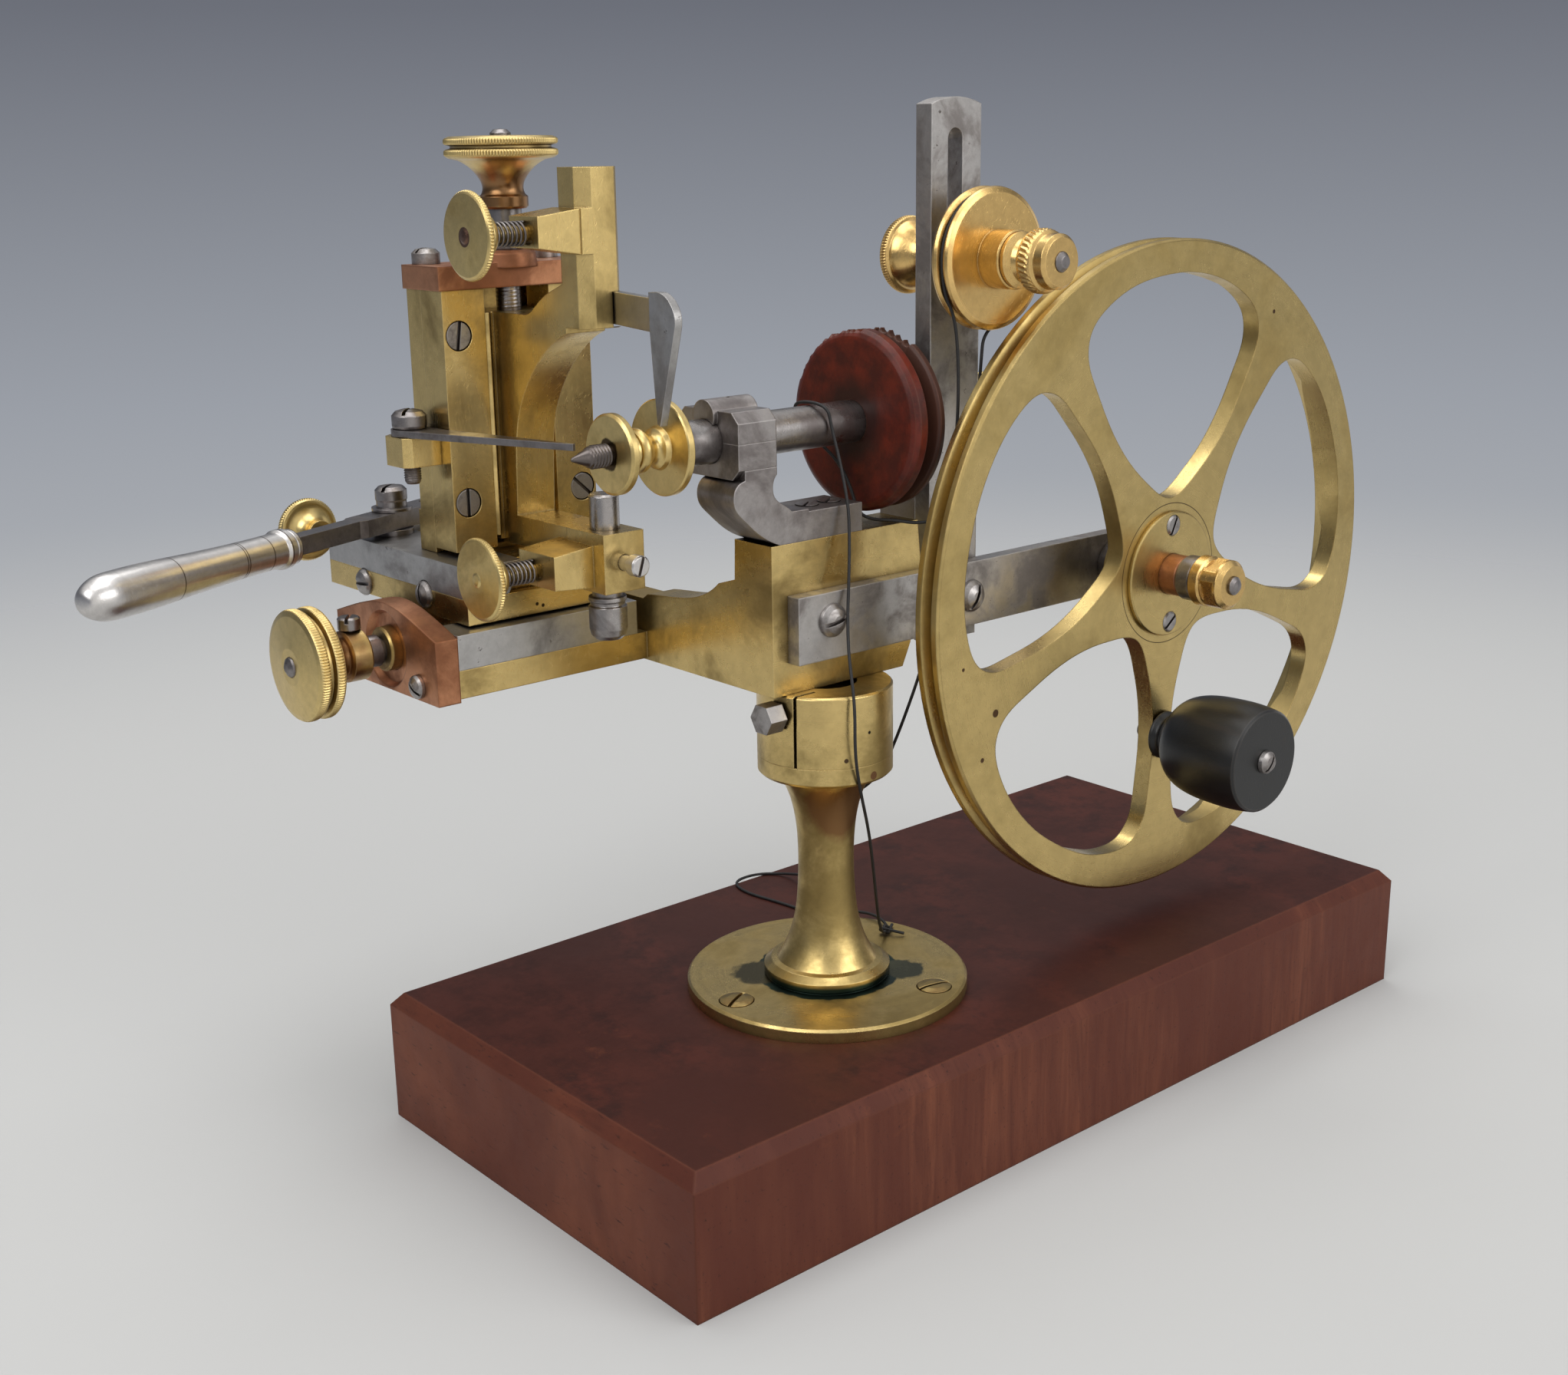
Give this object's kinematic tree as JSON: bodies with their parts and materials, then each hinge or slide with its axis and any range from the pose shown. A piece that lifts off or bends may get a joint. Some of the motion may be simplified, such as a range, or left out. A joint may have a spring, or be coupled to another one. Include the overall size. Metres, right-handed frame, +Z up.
{
  "type": "wheel topping tool",
  "caption": "Brass hand-cranked wheel topping tool: spoked flywheel, idler and line-driven spindle, slide rest with lever, on a waisted pillar and mahogany board.",
  "frame": {"origin": "centre of the underside of the board", "axes": "+X along the board and the spindle, towards the flywheel; +Y away from the flywheel's front face; +Z up"},
  "size_m": [0.3416, 0.2074, 0.2516],
  "materials": {
    "aged_brass": "aged, satin",
    "bright_brass": "polished",
    "copper": "aged copper",
    "steel": "worn steel",
    "dark_steel": "dark, oiled",
    "bright_steel": "bright turned",
    "mahogany": "satin wax",
    "ebony": "polished",
    "red_pulley": "worn red-brown"
  },
  "bodies": {
    "base": {"base_board": "mahogany", "pillar": "aged_brass", "flange_screws": "aged_brass"},
    "head": {"swivel_drum": "aged_brass", "drum_clamp_screw": "steel", "main_casting": "aged_brass", "bed_ways": "steel", "bed_end_plate": "copper", "end_plate_screws": "steel", "leadscrew_bush": "aged_brass", "horizontal_bar": "steel", "vertical_bar": "steel", "head_screws": "steel", "headstock": "steel", "headstock_cap": "steel", "rear_bearing": "steel", "rear_centre": "aged_brass", "axle_stud": "dark_steel", "axle_nut": "bright_brass"},
    "bed_screw": {"bed_leadscrew": "dark_steel", "bed_handwheel": "aged_brass"},
    "saddle": {"saddle_base": "aged_brass", "saddle_ways": "steel", "saddle_screws": "steel", "lever_pivot_screw": "dark_steel"},
    "stop": {"rear_stop_screw": "steel", "rear_stop_knob": "aged_brass"},
    "lever": {"feed_lever": "dark_steel", "lever_handle": "bright_steel"},
    "column": {"column_body": "aged_brass", "column_way_strips": "aged_brass", "way_screws": "steel", "column_gib": "aged_brass", "column_top_plate": "copper", "top_plate_screws": "steel", "finger_lug": "aged_brass", "finger_screw": "dark_steel"},
    "vertical_screw": {"vertical_leadscrew": "dark_steel", "top_knob": "aged_brass"},
    "frame": {"slide_frame": "aged_brass", "thumb_springs": "dark_steel", "runner_clamp_screw": "bright_steel", "hook_pointer": "steel"},
    "upper_thumb": {"upper_thumb_screw": "aged_brass"},
    "lower_thumb": {"lower_thumb_screw": "aged_brass"},
    "runner": {"runner_pin": "steel"},
    "pointer": {"finger": "dark_steel"},
    "spindle": {"spindle": "steel", "spindle_pulley": "red_pulley", "big_collar": "aged_brass", "small_collar": "aged_brass"},
    "idler_carriage": {"idler_stud": "dark_steel", "idler_front_nut": "bright_brass", "idler_rear_nut": "bright_brass"},
    "idler": {"idler_pulley": "bright_brass"},
    "wheel": {"flywheel": "aged_brass", "hub_plate": "aged_brass", "hub_bush": "copper", "flywheel_screws": "steel"},
    "crank": {"crank_handle": "ebony"}
  },
  "joints": [
    {"name": "head_swivel", "type": "hinge", "parent": "base", "child": "head", "pos_m": [-0.0433, -0.0081, 0.105], "axis": [0, 0, 1], "range_deg": [-30, 30]},
    {"name": "bed_screw_turn", "type": "hinge", "parent": "head", "child": "bed_screw", "pos_m": [-0.13, 0.0611, 0.1245], "axis": [1, 0, 0], "range_deg": [-1368, 540]},
    {"name": "saddle_feed", "type": "slide", "parent": "head", "child": "saddle", "axis": [1, 0, 0], "range_m": [-0.0038, 0.0015]},
    {"name": "stop_turn", "type": "hinge", "parent": "saddle", "child": "stop", "pos_m": [-0.1064, 0.13, 0.1413], "axis": [0, 1, 0], "range_deg": [-180, 180]},
    {"name": "lever_swing", "type": "hinge", "parent": "saddle", "child": "lever", "pos_m": [-0.1025, 0.093, 0.14925], "axis": [0, 0, 1], "range_deg": [-11.46, 11.46]},
    {"name": "cross_feed", "type": "slide", "parent": "saddle", "child": "column", "axis": [0, 1, 0], "range_m": [-0.00371, 0.00371]},
    {"name": "top_knob_turn", "type": "hinge", "parent": "column", "child": "vertical_screw", "pos_m": [-0.08675, 0.057, 0.225], "axis": [0, 0, 1], "range_deg": [-360, 1800]},
    {"name": "frame_lift", "type": "slide", "parent": "column", "child": "frame", "axis": [0, 0, 1], "range_m": [-0.001, 0.005]},
    {"name": "upper_thumb_turn", "type": "hinge", "parent": "frame", "child": "upper_thumb", "pos_m": [-0.11, 0.0231, 0.2231], "axis": [1, 0, 0], "range_deg": [-180, 180]},
    {"name": "lower_thumb_turn", "type": "hinge", "parent": "frame", "child": "lower_thumb", "pos_m": [-0.11, 0.0263, 0.1461], "axis": [1, 0, 0], "range_deg": [-180, 180]},
    {"name": "runner_slide", "type": "slide", "parent": "frame", "child": "runner", "axis": [0, 0, 1], "range_m": [-0.006, 0.0015]},
    {"name": "finger_swing", "type": "hinge", "parent": "column", "child": "pointer", "pos_m": [-0.113, 0.0628, 0.176], "axis": [0, 0, 1], "range_deg": [-50, 0]},
    {"name": "spindle_spin", "type": "hinge", "parent": "head", "child": "spindle", "pos_m": [-0.06, -0.0013, 0.176], "axis": [1, 0, 0], "continuous": true},
    {"name": "idler_height", "type": "slide", "parent": "head", "child": "idler_carriage", "axis": [0, 0, 1], "range_m": [-0.006, 0.022]},
    {"name": "idler_spin", "type": "hinge", "parent": "idler_carriage", "child": "idler", "pos_m": [-0.0035, -0.025, 0.2144], "axis": [0, 1, 0], "continuous": true},
    {"name": "flywheel_spin", "type": "hinge", "parent": "head", "child": "wheel", "pos_m": [0.055, -0.03, 0.1305], "axis": [0, 1, 0], "continuous": true},
    {"name": "crank_handle_spin", "type": "hinge", "parent": "wheel", "child": "crank", "pos_m": [0.055, -0.05, 0.086], "axis": [0, 1, 0], "continuous": true}
  ],
  "couplings": [
    {"joint": "bed_screw_turn", "follows": "saddle_feed", "rad_per_m": 6283},
    {"joint": "cross_feed", "follows": "lever_swing", "m_per_rad": 0.01855},
    {"joint": "top_knob_turn", "follows": "frame_lift", "rad_per_m": 6283}
  ]
}
